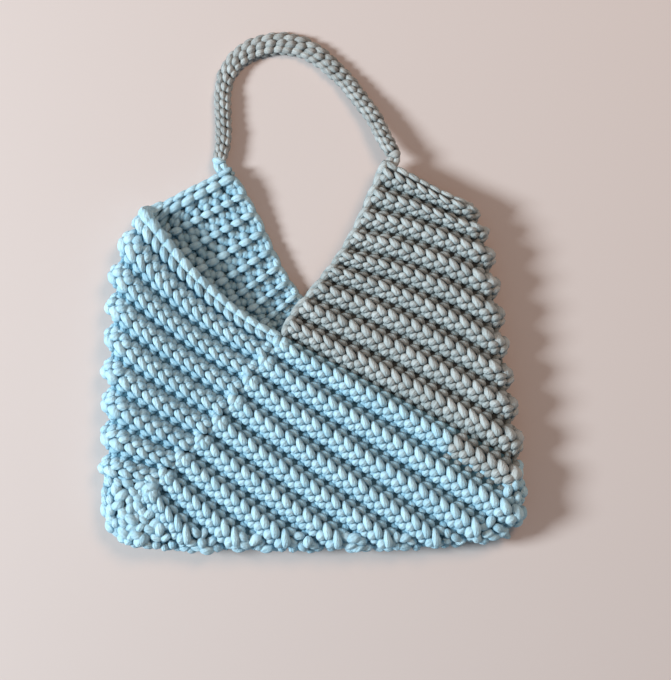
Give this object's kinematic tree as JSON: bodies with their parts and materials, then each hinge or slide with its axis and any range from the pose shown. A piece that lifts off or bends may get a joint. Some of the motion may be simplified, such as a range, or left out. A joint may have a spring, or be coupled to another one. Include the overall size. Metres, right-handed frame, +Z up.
{
  "type": "crochet shoulder bag",
  "caption": "Soft ribbed crochet pouch folded from one strip, with peaked mouth and a narrow crocheted strap, lying flat on its back.",
  "frame": {"origin": "on the surface that the bag lies on, under the middle of its bounding box", "axes": "+X to the grey side of the bag, +Y from the bottom fold to the strap, +Z up through the front of the lying bag"},
  "size_m": [0.355, 0.437, 0.034],
  "materials": {
    "grey_yarn": "matt smooth crochet cord, warm grey",
    "blue_yarn": "matt smooth crochet cord, pale blue",
    "strap_yarn": "matt smooth crochet cord, warm grey, worked tighter"
  },
  "bodies": {
    "root": {"grey_panel": "grey_yarn", "front_panel": "blue_yarn", "left_flap": "blue_yarn", "left_strap_tie": "blue_yarn", "strap": "strap_yarn", "right_strap_tie": "strap_yarn"}
  },
  "joints": []
}
